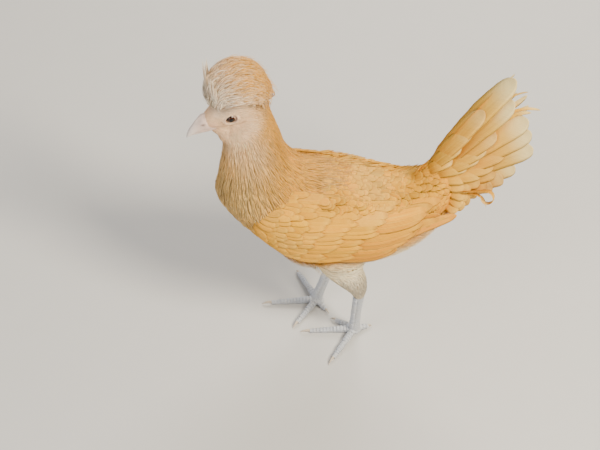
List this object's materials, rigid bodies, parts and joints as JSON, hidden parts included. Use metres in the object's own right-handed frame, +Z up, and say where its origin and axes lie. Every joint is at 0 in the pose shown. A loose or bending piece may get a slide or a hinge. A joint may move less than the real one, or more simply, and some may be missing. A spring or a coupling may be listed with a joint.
{
  "type": "polish crested hen",
  "caption": "Life-size Polish crested hen standing still, with a full feather crest, folded wings, a raised tail and four-toed feet.",
  "frame": {"origin": "centre of the bounding box's base, on the floor between the feet", "axes": "-X the way the beak points, -Y the hen's left side, +Z up"},
  "size_m": [0.3724, 0.1512, 0.3967],
  "materials": {
    "plumage": "golden buff feathers with pale edges",
    "pale_plumage": "cream feathers",
    "face": "bare and thinly feathered skin",
    "beak": "satin horn",
    "eye": "wet gloss",
    "leg_scale": "slate blue scales",
    "claw": "satin horn"
  },
  "bodies": {
    "root": {"torso": "plumage", "neck": "pale_plumage", "head": "face", "crest": "pale_plumage", "beak_upper": "beak", "beak_lower": "beak", "eye_left": "eye", "eye_right": "eye", "wing_left": "plumage", "wing_right": "plumage", "tail": "plumage", "thigh_left": "pale_plumage", "thigh_right": "pale_plumage", "shank_left": "leg_scale", "shank_right": "leg_scale", "foot_left": "leg_scale", "foot_right": "leg_scale", "claw_left_middle": "claw", "claw_left_outer": "claw", "claw_left_inner": "claw", "claw_left_hind": "claw", "claw_right_middle": "claw", "claw_right_outer": "claw", "claw_right_inner": "claw", "claw_right_hind": "claw"}
  },
  "joints": []
}
